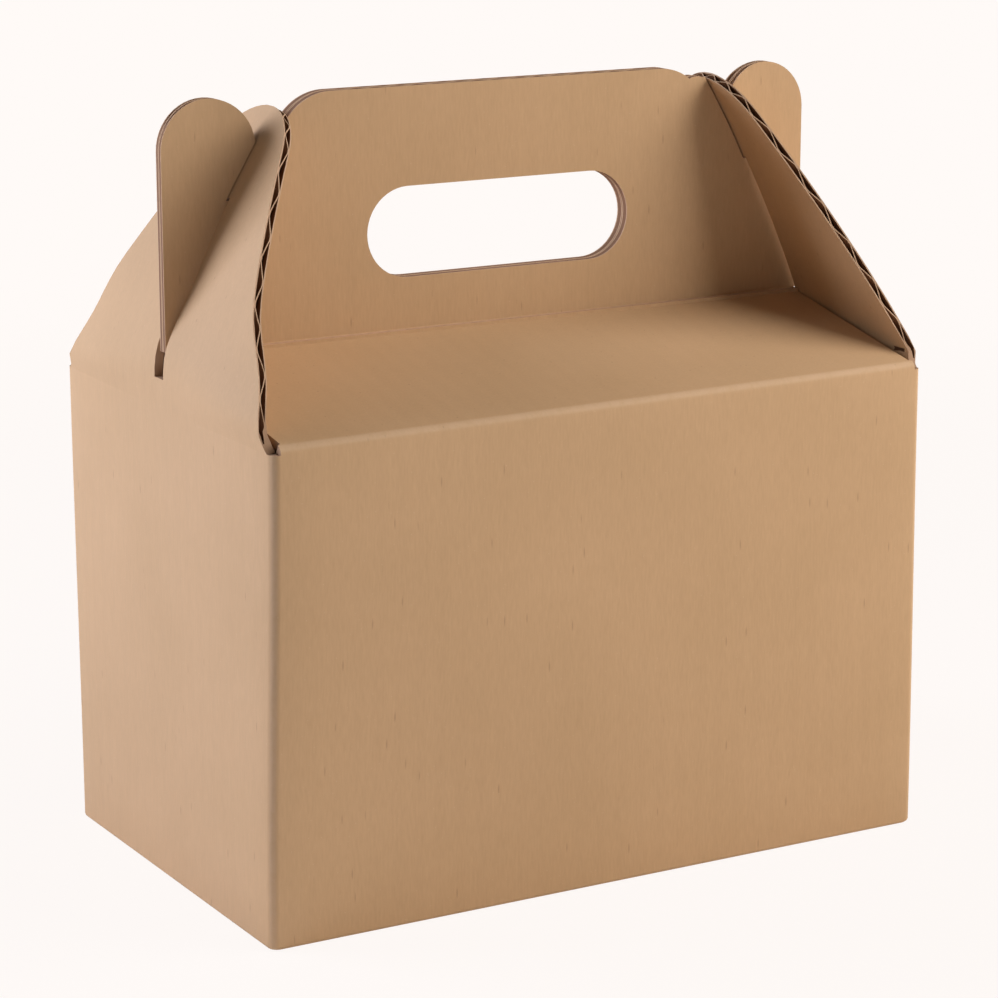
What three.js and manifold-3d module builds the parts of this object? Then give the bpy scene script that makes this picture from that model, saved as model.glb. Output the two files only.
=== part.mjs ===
// Cardboard lunch box with a carrying handle, made of one die-cut sheet of corrugated board.
// The sheet is folded into four walls, a lock bottom, two roof panels that stand up as a double
// handle, and two gable flaps whose slots slip over the handle's ears.
// Millimetres. X runs along the long walls, Y from front to back, Z up.
// The origin is at the middle of the base, on the surface that the box stands on.
import * as THREE from 'three';
import { mergeVertices } from 'three/addons/utils/BufferGeometryUtils.js';
import Module from 'manifold-3d';

// Box
const boxLength = 203.2;
const boxDepth = 123.8;
const wallHeight = 133.35;

// Board: its thickness, the bend of its middle at a fold, and the air between layers that lie together
const board = 2.4;
const foldRadius = 1.3;
const layerGap = 0.3;
const baseRounding = 1.2;

// Roof panels and the handle that they turn up into
const roofRise = 12.5;
const roofEndGap = 1.0;
const handleRise = 78.65;
const handleTop = wallHeight + handleRise;
const handleShoulderRadius = 16;
const handleShoulderGap = 4.8;

// Hand hole, with round ends
const holeLength = 82;
const holeHeight = 24.8;
const holeDrop = 39.3;
const holeMiddle = handleTop - holeDrop;

// Ears beyond the handle's notches
const earSetBack = 1.3;
const earHeadRadius = 14.2;
const earFootGap = 1.5;
const notchDepth = 27;
const notchFoot = handleTop - notchDepth;
const notchGap = 0.35;

// Gable flaps: upright as far as the roof's end, then leaning in over it and bowed towards the handle.
// The bend is soft by one width at the flap's edges and by another in its middle. The front and back
// edges jut out a little above the crease, where the roof's corners press on the flap.
const flapLean = Math.tan(THREE.MathUtils.degToRad(21.2));
const flapBow = 0.0018;
const edgeBend = 1.6;
const middleBend = 5;
const flapJut = 2.3;
const flapJutRise = 6;
const flapLength = 84;
const flapTipRadius = 22;
const cornerRelief = 0.3;
const flapSetBack = 3.4;
const flapFootWay = 2.2;
const slotFoot = 6;
const slotHead = 72.5;
const slotGap = 0.7;

// Flutes between the board's two liners, open where the board is cut across them
const flutePitch = 6.2;
const liner = 0.35;
const medium = 0.3;
const crestHalf = 0.35;
const cellDepth = 7;

// Lock bottom: the front panel's tongue climbs through the back panel's cut-out
const panelSideGap = 1.0;
const endPanelReach = 55;
const endPanelTaper = 28;
const frontPanelReach = 66;
const frontPanelTaper = 38;
const backPanelReach = 82;
const backPanelTaper = 10;
const tongueHalfWidth = 34;
const tongueSlit = 2;
const tongueStart = 53;
const tongueTilt = THREE.MathUtils.degToRad(24);
const tongueBendRadius = 3;
const tongueLap = 18;
const tongueFacets = 2;
const tongueLayer = 3;
const cutOutDepth = 34;
const panelRoot = 1.8;

// Facets on bends and round outlines
const bendFacets = 5;
const cornerFacets = 2;
const edgeFacets = 8;
const arcSegments = 14;
const flapColumns = 14;
const flapRows = 16;
const rowCrowding = 1.35;
const cellFacets = 2;

// Spare length on shapes that cut or are cut away, and the fine grid that corners are rounded to,
// so that faces that lie in one plane have the same numbers. Slopes are taken over a short step.
const spare = 6;
const gridSteps = 1024;
const slopeStep = 0.25;

const boardColour = 0xbd9468;

const wasm = await Module();
wasm.setup();

const axisX = new THREE.Vector3(1, 0, 0);
const axisY = new THREE.Vector3(0, 1, 0);
const axisZ = new THREE.Vector3(0, 0, 1);
const upright = Math.PI / 2;

// A profile drawn in Y and Z and extruded along X
const alongX = new THREE.Matrix4().makeBasis(axisY, axisZ, axisX);
// A profile drawn in X and Z and extruded along Y
const alongY = new THREE.Matrix4().makeBasis(axisX, axisZ, axisY.clone().negate());

function onGrid(value) {
  return Math.round(value * gridSteps) / gridSteps;
}

function toSolid(geometry) {
  const bare = geometry.clone();
  bare.deleteAttribute('normal');
  bare.deleteAttribute('uv');
  const merged = mergeVertices(bare);
  return new wasm.Manifold(new wasm.Mesh({
    numProp: 3,
    vertProperties: Float32Array.from(merged.getAttribute('position').array, onGrid),
    triVerts: Uint32Array.from(merged.getIndex().array),
  }));
}

function toGeometry(solid) {
  const mesh = solid.getMesh();
  const geometry = new THREE.BufferGeometry();
  geometry.setAttribute('position', new THREE.BufferAttribute(mesh.vertProperties, 3));
  geometry.setIndex(new THREE.BufferAttribute(mesh.triVerts, 1));
  geometry.computeVertexNormals();
  return geometry;
}

// A closed profile extruded by a length, centred on its own plane, then turned and moved into place
function extruded(shape, length, turn, move = [0, 0, 0]) {
  const geometry = new THREE.ExtrudeGeometry(shape, {
    depth: length,
    bevelEnabled: false,
    curveSegments: arcSegments,
  });
  geometry.translate(0, 0, -length / 2);
  if (turn) geometry.applyMatrix4(turn);
  geometry.translate(...move);
  return geometry;
}

// The opposite side of the box: everything is the same turned half round about Z
function halfTurned(geometry) {
  return geometry.clone().rotateZ(Math.PI);
}

// The section of a folded board, drawn along its middle as straight runs and bends.
// A bend turns left when its angle is positive.
function boardSection(start, heading, moves, thickness = board) {
  const leftSide = [];
  const rightSide = [];
  const at = start.clone();
  let angle = heading;
  const mark = () => {
    const across = new THREE.Vector2(-Math.sin(angle), Math.cos(angle)).multiplyScalar(thickness / 2);
    leftSide.push(at.clone().add(across));
    rightSide.push(at.clone().sub(across));
  };
  mark();
  for (const { run, bend, radius, facets = bendFacets } of moves) {
    if (run) {
      at.add(new THREE.Vector2(Math.cos(angle), Math.sin(angle)).multiplyScalar(run));
      mark();
      continue;
    }
    const side = Math.sign(bend);
    for (let facet = 0; facet < facets; facet += 1) {
      const next = angle + bend / facets;
      at.x += side * radius * (Math.sin(next) - Math.sin(angle));
      at.y += side * radius * (Math.cos(angle) - Math.cos(next));
      angle = next;
      mark();
    }
  }
  return new THREE.Shape([...rightSide, ...leftSide.reverse()]);
}

function roundedRectangle(target, length, depth, radius) {
  const x = length / 2;
  const y = depth / 2;
  target.moveTo(-x + radius, -y);
  target.lineTo(x - radius, -y);
  target.absarc(x - radius, -y + radius, radius, -upright, 0);
  target.lineTo(x, y - radius);
  target.absarc(x - radius, y - radius, radius, 0, upright);
  target.lineTo(-x + radius, y);
  target.absarc(-x + radius, y - radius, radius, upright, Math.PI);
  target.lineTo(-x, -y + radius);
  target.absarc(-x + radius, -y + radius, radius, Math.PI, Math.PI * 1.5);
  return target;
}

// The roof's slope and the height at which the walls start to bend into it
const roofReach = boxDepth / 2 - board - layerGap / 2;
const roofSlope = Math.atan2(roofRise, roofReach);
const roofFold = upright - roofSlope;
const outerFoldRadius = foldRadius + board / 2;
const innerFoldRadius = foldRadius - board / 2;
const bendStart = wallHeight - outerFoldRadius * Math.tan(roofFold / 2);

// Four walls with rounded upright folds and a rounded edge round the base
function makeWalls() {
  const outline = roundedRectangle(
    new THREE.Shape(),
    boxLength - 2 * baseRounding,
    boxDepth - 2 * baseRounding,
    outerFoldRadius - baseRounding,
  );
  const outer = new THREE.ExtrudeGeometry(outline, {
    depth: wallHeight + spare,
    bevelEnabled: true,
    bevelSize: baseRounding,
    bevelThickness: baseRounding,
    bevelSegments: cornerFacets,
    curveSegments: bendFacets,
  });
  outer.translate(0, 0, baseRounding);
  const inside = new THREE.ExtrudeGeometry(
    roundedRectangle(new THREE.Shape(), boxLength - 2 * board, boxDepth - 2 * board, innerFoldRadius),
    { depth: wallHeight + 4 * spare, bevelEnabled: false, curveSegments: cornerFacets },
  );
  inside.translate(0, 0, -spare);
  const above = new THREE.BoxGeometry(boxLength * 2, boxDepth * 2, wallHeight);
  above.translate(0, 0, bendStart + wallHeight / 2);
  return toSolid(outer).subtract(toSolid(inside)).subtract(toSolid(above));
}

// How far the gable flap leans in at a place across the box and at a height
function flapLeaning(across, height) {
  const share = 1 - Math.min(Math.abs(across) / roofReach, 1);
  const bend = THREE.MathUtils.lerp(edgeBend, middleBend, share);
  const above = height - wallHeight - roofRise * share;
  const leaning = above < bend ? Math.max(above + bend, 0) ** 2 / (4 * bend) : above;
  const jutting = THREE.MathUtils.smoothstep(height, bendStart, bendStart + flapJutRise);
  const jut = flapJut * jutting * Math.abs(across) / (boxDepth / 2);
  return flapLean * leaning + flapBow * leaning ** 2 - jut;
}

function flapSlope(across, height) {
  const upper = flapLeaning(across, height + slopeStep);
  const lower = flapLeaning(across, height - slopeStep);
  return (upper - lower) / (2 * slopeStep);
}

// A point of the right-hand gable flap, its depth measured square to the board from the outer face
function onFlap(across, depth, height) {
  const level = depth * Math.hypot(1, flapSlope(across, height));
  return new THREE.Vector3(boxLength / 2 - flapLeaning(across, height) - level, across, height);
}

// Height of a point that lies a given way up the flat flap, along its middle
function flapHeight(way) {
  let height = wallHeight;
  for (let climbed = 0; climbed < way; climbed += slopeStep) {
    height += Math.min(slopeStep, way - climbed) / Math.hypot(1, flapSlope(0, height));
  }
  return height;
}

// Every point of a geometry moved by a rule
function shaped(geometry, rule) {
  const position = geometry.getAttribute('position');
  const point = new THREE.Vector3();
  for (let index = 0; index < position.count; index += 1) {
    point.fromBufferAttribute(position, index);
    position.setXYZ(index, ...rule(point).toArray());
  }
  return geometry;
}

// The bent sheet that the flap is cut from, made thicker on both faces by a clearance.
// Its rows lie closer together near the crease, and the lowest one laps the wall.
function flapSheet(clearance = 0) {
  const block = new THREE.BoxGeometry(board + 2 * clearance, boxDepth, 1, 1, flapColumns, flapRows);
  return shaped(block, (point) => {
    const row = Math.round((point.z + 0.5) * flapRows);
    const share = Math.max(row - 1, 0) / (flapRows - 1);
    const rise = (handleTop + spare - bendStart) * share ** rowCrowding;
    const height = bendStart + (row === 0 ? -spare : rise);
    return onFlap(point.y, board / 2 - point.x, height);
  });
}

// The flap's outline: its slanted edges run into a broad round tip
const flapHalfWidth = boxDepth / 2 - flapSetBack;
const flapTipWay = flapLength - flapTipRadius;
const flapReach = Math.hypot(flapHalfWidth, flapTipWay);
const flapSlant = Math.acos(flapTipRadius / flapReach) - Math.atan2(flapTipWay, flapHalfWidth);
const tangentWay = flapTipWay + flapTipRadius * Math.sin(flapSlant);

// The way up the flat flap at which its edge is a given distance from its middle line
function edgeWay(across) {
  const slantedWay = (flapHalfWidth - Math.abs(across)) / Math.tan(flapSlant);
  if (slantedWay < tangentWay) return slantedWay;
  return flapTipWay + Math.sqrt(flapTipRadius ** 2 - across ** 2);
}

// The gable flap seen from its end
function flapOutline() {
  const side = [];
  side.push(new THREE.Vector2(boxDepth / 2 - outerFoldRadius - cornerRelief, bendStart - spare));
  side.push(new THREE.Vector2(boxDepth / 2 - outerFoldRadius - cornerRelief, bendStart));
  for (let step = 0; step <= edgeFacets; step += 1) {
    const way = THREE.MathUtils.lerp(flapFootWay, tangentWay, step / edgeFacets);
    side.push(new THREE.Vector2(flapHalfWidth - way * Math.tan(flapSlant), flapHeight(way)));
  }
  for (let step = 1; step <= edgeFacets; step += 1) {
    const angle = THREE.MathUtils.lerp(flapSlant, upright, step / edgeFacets);
    const across = flapTipRadius * Math.cos(angle);
    side.push(new THREE.Vector2(across, flapHeight(flapTipWay + flapTipRadius * Math.sin(angle))));
  }
  const otherSide = side.slice(0, -1).reverse().map((point) => new THREE.Vector2(-point.x, point.y));
  return new THREE.Shape([...side, ...otherSide]);
}

// The section of one flute: a trapezoid with its base on one liner and its crest near the other
function cellShape(middle, towardsInside) {
  const baseHalf = flutePitch / 2 - crestHalf;
  const base = towardsInside ? board - liner : liner;
  const crest = towardsInside ? liner + medium : board - liner - medium;
  const points = [[-baseHalf, base], [baseHalf, base], [crestHalf, crest], [-crestHalf, crest]];
  return new THREE.Shape(points.map(([across, depth]) => new THREE.Vector2(middle + across, depth)));
}

// The middles of the flutes between two places, with the liner that each one lies on
function fluteRow(from, to) {
  const halfPitch = flutePitch / 2;
  const margin = halfPitch + crestHalf;
  const first = Math.ceil((from + margin) / halfPitch);
  const last = Math.floor((to - margin) / halfPitch);
  const row = [];
  for (let index = first; index <= last; index += 1) {
    row.push({ middle: index * halfPitch, towardsInside: index % 2 !== 0 });
  }
  return row;
}

// The open ends of the flutes along the flap's cut edge
function flapCells() {
  const cells = [];
  const slotSide = board + slotGap + layerGap / 2 + liner;
  const footHalf = flapHalfWidth - flapFootWay * Math.tan(flapSlant);
  for (const { middle, towardsInside } of fluteRow(-footHalf, footHalf)) {
    const inner = Math.max(Math.abs(middle) - flutePitch / 2, 0);
    const top = flapHeight(edgeWay(inner)) + liner;
    const foot = Math.max(flapHeight(edgeWay(middle)) - cellDepth, wallHeight + liner);
    const nearSlot = inner < slotSide && foot < flapHeight(slotHead) + liner;
    if (nearSlot) continue;
    const cell = new THREE.ExtrudeGeometry(cellShape(middle, towardsInside), {
      depth: top - foot,
      bevelEnabled: false,
      steps: cellFacets,
    });
    cells.push(shaped(cell, (point) => onFlap(point.x, point.y, foot + point.z)));
  }
  return cells;
}

// One gable flap at the right-hand end, with the slot that slips over the handle's ear
function makeFlapPieces() {
  const sheet = flapSheet();
  const outline = extruded(flapOutline(), boxLength, alongX, [boxLength / 2, 0, 0]);
  const slotFootHeight = flapHeight(slotFoot);
  const slotHeight = flapHeight(slotHead) - slotFootHeight;
  const slotWidth = 2 * (board + slotGap) + layerGap;
  const slot = new THREE.BoxGeometry(boxLength / 2, slotWidth, slotHeight);
  slot.translate(boxLength / 2, 0, slotFootHeight + slotHeight / 2);
  return { sheet, outline, cuts: [slot, ...flapCells()] };
}

function makeFlap(pieces, place) {
  const { sheet, outline, cuts } = pieces;
  let flap = toSolid(place(sheet)).intersect(toSolid(place(outline)));
  for (const cut of cuts) {
    flap = flap.subtract(toSolid(place(cut)));
  }
  return flap;
}

// The handle's shoulders run alongside the gable flaps, a gap away from their inner faces
const shoulderLean = Math.atan(flapSlope(0, (notchFoot + handleTop) / 2));
const shoulderHeight = handleTop - handleShoulderRadius;
const shoulderEnd = shoulderHeight + handleShoulderRadius * Math.sin(shoulderLean);
const shoulderEdge = onFlap(0, board, shoulderEnd).x - handleShoulderGap;
const handleTopHalf = shoulderEdge - handleShoulderRadius * Math.cos(shoulderLean);

const earEdge = boxLength / 2 - earSetBack;
const earHeadX = earEdge - earHeadRadius;
const earHeadZ = handleTop - earHeadRadius;

// The roof panel, the handle ply and its two ears seen from the front
function handleOutline() {
  const roofHalf = boxLength / 2 - board - roofEndGap;
  const earFoot = wallHeight + roofRise + earFootGap;
  const shape = new THREE.Shape();
  shape.moveTo(-roofHalf, bendStart - spare);
  shape.lineTo(roofHalf, bendStart - spare);
  shape.lineTo(roofHalf, earFoot);
  shape.lineTo(earEdge, earFoot);
  shape.absarc(earHeadX, earHeadZ, earHeadRadius, 0, Math.PI);
  shape.absarc(handleTopHalf, shoulderHeight, handleShoulderRadius, shoulderLean, upright);
  shape.absarc(-handleTopHalf, shoulderHeight, handleShoulderRadius, upright, Math.PI - shoulderLean);
  shape.absarc(-earHeadX, earHeadZ, earHeadRadius, 0, Math.PI);
  shape.lineTo(-earEdge, earFoot);
  shape.lineTo(-roofHalf, earFoot);
  const hole = new THREE.Path();
  const endRadius = holeHeight / 2;
  const endX = holeLength / 2 - endRadius;
  hole.absarc(endX, holeMiddle, endRadius, -upright, upright);
  hole.absarc(-endX, holeMiddle, endRadius, upright, Math.PI * 1.5);
  shape.holes.push(hole);
  return shape;
}

// The open ends of the flutes along the top of the front handle ply and round its ears' heads
function handleCells() {
  const outerFace = -(board + layerGap / 2);
  const cellAt = (middle, towardsInside, edge) => {
    const cell = new THREE.ExtrudeGeometry(cellShape(middle, towardsInside), {
      depth: cellDepth + spare,
      bevelEnabled: false,
    });
    return cell.translate(0, outerFace, edge - cellDepth);
  };
  const cells = fluteRow(-handleTopHalf, handleTopHalf).map(
    ({ middle, towardsInside }) => cellAt(middle, towardsInside, handleTop),
  );
  for (const side of [1, -1]) {
    const headMiddle = side * earHeadX;
    for (const { middle, towardsInside } of fluteRow(headMiddle - earHeadRadius, headMiddle + earHeadRadius)) {
      const edge = earHeadZ + Math.sqrt(earHeadRadius ** 2 - (middle - headMiddle) ** 2);
      cells.push(cellAt(middle, towardsInside, edge));
    }
  }
  return cells;
}

// The front wall's top edge, roof panel and handle ply
function makeRoofPieces() {
  const foldOuter = outerFoldRadius * Math.tan(roofFold / 2);
  const foldInner = innerFoldRadius * Math.tan(roofFold / 2);
  const roofRun = Math.hypot(roofReach, roofRise) - foldOuter - foldInner;
  const start = new THREE.Vector2((board - boxDepth) / 2, bendStart - spare);
  const section = boardSection(start, upright, [
    { run: spare },
    { bend: -roofFold, radius: foldRadius },
    { run: roofRun },
    { bend: roofFold, radius: foldRadius },
    { run: handleTop - wallHeight - roofRise + spare },
  ]);
  const sheet = extruded(section, boxLength + spare, alongX);
  const outline = extruded(handleOutline(), boxDepth * 2, alongY);
  return { sheet, outline, cuts: handleCells() };
}

function makeRoof(pieces, place) {
  let roof = toSolid(place(pieces.sheet)).intersect(toSolid(place(pieces.outline)));
  const band = flapSheet(notchGap);
  const floor = new THREE.BoxGeometry(boxLength * 2, boxDepth * 2, notchFoot);
  floor.translate(0, 0, notchFoot / 2);
  for (const turned of [band, halfTurned(band)]) {
    roof = roof.subtract(toSolid(turned).subtract(toSolid(floor)));
  }
  for (const cut of pieces.cuts) {
    roof = roof.subtract(toSolid(place(cut)));
  }
  return roof;
}

// A flat bottom panel in one of the layers, drawn from above
function bottomPanel(points, layer) {
  const height = board / 2 + layer * (board + layerGap);
  const shape = new THREE.Shape(points.map(([x, y]) => new THREE.Vector2(x, y)));
  return toSolid(extruded(shape, board, null, [0, 0, height]));
}

// The lock bottom: front panel outside, end panels in the middle, back panel inside
function makeBottom() {
  const wallX = boxLength / 2 - panelRoot;
  const wallY = boxDepth / 2 - panelRoot;
  const sideX = boxLength / 2 - board - panelSideGap;
  const sideY = boxDepth / 2 - board - panelSideGap;
  const slitX = tongueHalfWidth + tongueSlit;
  const frontEdge = frontPanelReach - wallY;
  const tongueY = tongueStart - wallY;
  const front = bottomPanel([
    [-sideX, -wallY], [sideX, -wallY], [sideX - frontPanelTaper, frontEdge],
    [slitX, frontEdge], [slitX, tongueY], [-slitX, tongueY],
    [-slitX, frontEdge], [frontPanelTaper - sideX, frontEdge],
  ], 0);
  const climb = tongueLayer * (board + layerGap);
  const bendRise = 2 * tongueBendRadius * (1 - Math.cos(tongueTilt));
  const tongueSection = boardSection(new THREE.Vector2(tongueY - spare, board / 2), 0, [
    { run: spare },
    { bend: tongueTilt, radius: tongueBendRadius, facets: tongueFacets },
    { run: (climb - bendRise) / Math.sin(tongueTilt) },
    { bend: -tongueTilt, radius: tongueBendRadius, facets: tongueFacets },
    { run: tongueLap },
  ]);
  const tongue = toSolid(extruded(tongueSection, 2 * tongueHalfWidth, alongX));
  const backEdge = wallY - backPanelReach;
  const cutOutY = backEdge + cutOutDepth;
  const back = bottomPanel([
    [-sideX, wallY], [backPanelTaper - sideX, backEdge], [-slitX, backEdge],
    [-slitX, cutOutY], [slitX, cutOutY], [slitX, backEdge],
    [sideX - backPanelTaper, backEdge], [sideX, wallY],
  ], 2);
  let bottom = front.add(tongue).add(back);
  for (const side of [1, -1]) {
    const inner = wallX - endPanelReach;
    const points = [
      [wallX, -sideY], [wallX, sideY], [inner, sideY - endPanelTaper], [inner, endPanelTaper - sideY],
    ].map(([x, y]) => [side * x, side * y]);
    bottom = bottom.add(bottomPanel(points, 1));
  }
  return bottom;
}

function makeCarton() {
  const roofPieces = makeRoofPieces();
  const flapPieces = makeFlapPieces();
  let carton = makeWalls().add(makeBottom());
  for (const place of [(geometry) => geometry, halfTurned]) {
    carton = carton.add(makeRoof(roofPieces, place)).add(makeFlap(flapPieces, place));
  }
  const material = new THREE.MeshStandardMaterial({ color: boardColour, roughness: 0.9, metalness: 0 });
  const mesh = new THREE.Mesh(toGeometry(carton), material);
  mesh.name = 'carton';
  return mesh;
}

const lunchBox = new THREE.Group();
lunchBox.add(makeCarton());

export default lunchBox;
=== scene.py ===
"""Looks of a corrugated lunch box, folded from one die-cut sheet of brown board.

The walls and the roof are modelled as the board's outer face, a ring from which the roof panels
are spun and extruded, and then get their thickness. The gable flaps are drawn up from the end
walls' top edges, the plies of the handle are grids cut to their outline, and the bottom panels are
flat sheets. Holes, notches and flutes are cut while these are apart. Then all are joined into one
board, which settles into the stance of a used box.

Lengths below are in millimetres, as the maker of the box would give them. Blender's own
units are metres, so MM turns one into the other.
"""
import math

import bpy
import bmesh
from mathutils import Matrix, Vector, noise


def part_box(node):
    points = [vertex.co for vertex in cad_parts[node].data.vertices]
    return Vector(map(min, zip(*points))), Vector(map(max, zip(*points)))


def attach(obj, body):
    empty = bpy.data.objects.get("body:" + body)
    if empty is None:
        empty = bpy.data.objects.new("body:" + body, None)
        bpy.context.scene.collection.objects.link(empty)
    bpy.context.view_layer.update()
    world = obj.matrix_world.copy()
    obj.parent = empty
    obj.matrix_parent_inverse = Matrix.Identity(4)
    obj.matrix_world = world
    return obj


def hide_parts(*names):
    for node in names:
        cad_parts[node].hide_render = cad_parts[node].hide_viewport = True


MM = 0.001
QUARTER = math.pi / 2

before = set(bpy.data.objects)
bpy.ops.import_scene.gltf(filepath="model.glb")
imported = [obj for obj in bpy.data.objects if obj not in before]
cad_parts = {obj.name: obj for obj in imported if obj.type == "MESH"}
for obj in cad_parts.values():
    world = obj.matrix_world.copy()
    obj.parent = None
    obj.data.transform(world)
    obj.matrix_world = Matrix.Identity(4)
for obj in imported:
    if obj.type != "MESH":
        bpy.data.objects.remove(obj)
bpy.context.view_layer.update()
scene = bpy.context.scene
scene.view_settings.view_transform = "Standard"

# Box, outside
BOX_LENGTH = 203.2
BOX_DEPTH = 123.8
WALL_HEIGHT = 133.35

# Board: its thickness, the outer radius of its folds, and the air between the handle's two plies
BOARD = 2.4
FOLD_RADIUS = 2.5
INNER_BEND_RADIUS = 0.7
LAYER_GAP = 0.3
BASE_ROUNDING = 1.2

# Roof panels, and the handle that they turn up into
ROOF_RISE = 12.5
ROOF_END_GAP = 1.0
HANDLE_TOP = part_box("carton")[1].z / MM
SHOULDER_RADIUS = 16
SHOULDER_GAP = 4.8
HOLE_LENGTH = 82
HOLE_HEIGHT = 24.8
HOLE_DROP = 39.3
EAR_SET_BACK = 1.3
EAR_HEAD_RADIUS = 13.3
EAR_FOOT_GAP = 0.35
NOTCH_DEPTH = 27
NOTCH_GAP = 0.35
NOTCH_INNER_GAP = 0.7
NOTCH_STEPS = 10

# The lip between the handle's right-hand shoulder and its notch
SHOULDER_FOOT = math.radians(53)
LIP_RADIUS = 5
LIP_DROP = 2.8
LIP_FALL = 0.3
LIP_SET_IN = 1.8
LIP_START = math.radians(70)
LIP_END = math.radians(118)

# Gable flaps: their lean and bend, the flat pull of the left one, their outline and their slots
FLAP_LEAN = math.tan(math.radians(21.2))
FLAP_BOW = 0.0018
EDGE_BEND = 1.6
MIDDLE_BEND = 5
FLAP_JUT = 2.3
FLAP_JUT_RISE = 6
FLAP_LENGTH = 84
LEFT_FLAT_RISE = 9.0
LEFT_FLAT_WAY = 20
FLAP_TIP_RADIUS = 22
FLAP_SET_BACK = 3.4
FLAP_FOOT_WAY = 2.2
FLAP_FOOT_DROP = 1
SLOT_FOOT = 6
SLOT_HEAD = 57
SLOT_GAP = 0.2
SLOPE_STEP = 0.25

# Flutes between the two liners
FLUTE_PITCH = 6.2
LINER = 0.35
MEDIUM = 0.3
CREST_HALF = 0.35
CELL_DEPTH = 12
CELL_STEPS = 4
FOOT_CELL_MARGIN = FLUTE_PITCH / 6

# Colours, in linear light: liner, the painted highlight and real wear on its folds, and its flecks, cut
# edge, painted shade between the liners, and painted shade inside a flute
KRAFT_COLOUR = (0.56, 0.36, 0.20)
CREASE_HIGHLIGHT_AND_WEAR_COLOUR = (0.72, 0.52, 0.36)
DARK_FLECK_COLOUR = (0.22, 0.12, 0.06)
PALE_FLECK_COLOUR = (0.72, 0.54, 0.38)
EDGE_COLOUR = (0.56, 0.37, 0.24)
CORE_SHADE_COLOUR = (0.24, 0.13, 0.075)
FLUTE_SHADE_COLOUR = (0.22, 0.10, 0.045)

# Finish: gloss, the painted highlight and wear on the folds, the flutes that show through, the painted
# shade on the cut edge from the flaps' feet down, and where the painted shade between the ply edge's
# liners fades
BOARD_GLOSS = 0.12
EDGE_ROUGHNESS = 0.9
CREASE_WIDTH = 1.2
CREASE_INSET = 0.3 * FOLD_RADIUS
ROOF_CREASE_DROP = 0.4
CREASE_HIGHLIGHT_AND_WEAR_SHARE = 0.34
RIPPLE_SHADE = 0.006
RIPPLE_BUMP = 0.5
EDGE_SHADE_LOW = 139.5
EDGE_SHADE_HIGH = 144
EDGE_SHADE_SHARE = 0.5
CORE_FADE = 0.1

# Lock bottom: the front panel's tongue climbs through the back panel's cut-out
PANEL_ROOT = 1.8
PANEL_SIDE_GAP = 1.0
FRONT_PANEL = {"reach": 66, "taper": 38, "layer": 0}
END_PANEL = {"reach": 55, "taper": 28, "layer": 1}
BACK_PANEL = {"reach": 82, "taper": 10, "layer": 2}
TONGUE_HALF_WIDTH = 34
TONGUE_SLIT = 2
TONGUE_START = 53
TONGUE_TILT = math.radians(24)
TONGUE_BEND_RADIUS = 3
TONGUE_LAP = 18
TONGUE_LAYER = 3
CUT_OUT_DEPTH = 34
TONGUE_FACETS = 3

# How far the top of each upright fold has moved with use, across and back, and over what height above
# the wall that fades; how far the ears' plies are pressed together; and how wavy the panels are
FRONT_LEFT_SHIFT = (0.6, -3.8)
FRONT_RIGHT_SHIFT = (2.0, 4.2)
BACK_LEFT_SHIFT = (1.0, 3.6)
BACK_RIGHT_SHIFT = (0.5, 0.5)
SHIFT_FADE_LOW = 6
SHIFT_FADE_HIGH = 42
EAR_CRUSH = 0.38
EAR_CRUSH_FADE = 12
WAVE_DEPTH = 0.45
WAVE_LENGTH = 70
WAVE_FADE_LOW = 8
WAVE_FADE_HIGH = 40
WAVE_FADE_SIDE = 15
PLACE_NAME = "flat_place"

# How finely the board is divided
WALL_COLUMNS = 18
END_COLUMNS = 14
WALL_ROWS = 8
FOLD_STEPS = 6
BASE_STEPS = 3
ROOF_ROWS = 5
HANDLE_COLUMNS = 36
HANDLE_ROWS = 10
FLAP_ROWS = 16
FLAP_ROW_CROWDING = 1.2
TIP_ROWS = 9
TIP_ROW_LEAD = 0.8
PANEL_CUTS = 3
ARC_STEPS = 24
SMOOTH_ANGLE = math.radians(35)

# How far a cutter reaches past what it cuts
SPARE = 6
SHORT_SPARE = 1

# Camera: where the photographer stood, and the lens on a 36 mm square frame
CAMERA_PLACE = Vector((-0.4507, -0.7877, 0.3173))
CAMERA_HEADING = math.radians(-29.84)
CAMERA_DROP = math.radians(13.82)
CAMERA_LENS = 120.3
CAMERA_SENSOR = 36.0
CAMERA_SHIFT_UP = 0.001

# Light, in metres: what the lamps point at, and the weak light from all round
LAMP_TARGET = (0, 0, 0.1)
WORLD_COLOUR = (1.0, 0.975, 0.95)
WORLD_STRENGTH = 0.03

# Backdrop, and how much of it the floor takes on for the camera, near the box and from there outwards
BACKDROP_COLOUR = (1.0, 0.956, 0.930)
FLOOR_COLOUR = (0.93, 0.9, 0.88)
FLOOR_ROUGHNESS = 0.9
FLOOR_GLOSS = 0.1
FLOOR_SIZE = 12
FLOOR_DROP = 0.1 * MM
FLOOR_GLOW = 0.95
FLOOR_GLOW_START = 0.3
FLOOR_GLOW_FULL = 0.9

# Sizes that follow from these
ROOF_REACH = BOX_DEPTH / 2 - BOARD - LAYER_GAP / 2
ROOF_SLOPE = math.atan2(ROOF_RISE, ROOF_REACH)
ROOF_FOLD = QUARTER - ROOF_SLOPE
BEND_START = WALL_HEIGHT - FOLD_RADIUS * math.tan(ROOF_FOLD / 2)
FLAT_HALF_LENGTH = BOX_LENGTH / 2 - FOLD_RADIUS
FLAT_HALF_DEPTH = BOX_DEPTH / 2 - FOLD_RADIUS
ROOF_HALF_LENGTH = BOX_LENGTH / 2 - BOARD - ROOF_END_GAP
NEAR = 0.01


# Editing helpers

def deselect_all():
    if bpy.context.object and bpy.context.object.mode != "OBJECT":
        bpy.ops.object.mode_set(mode="OBJECT")
    bpy.ops.object.select_all(action="DESELECT")


def work_on(piece):
    deselect_all()
    piece.select_set(True)
    bpy.context.view_layer.objects.active = piece


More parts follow.
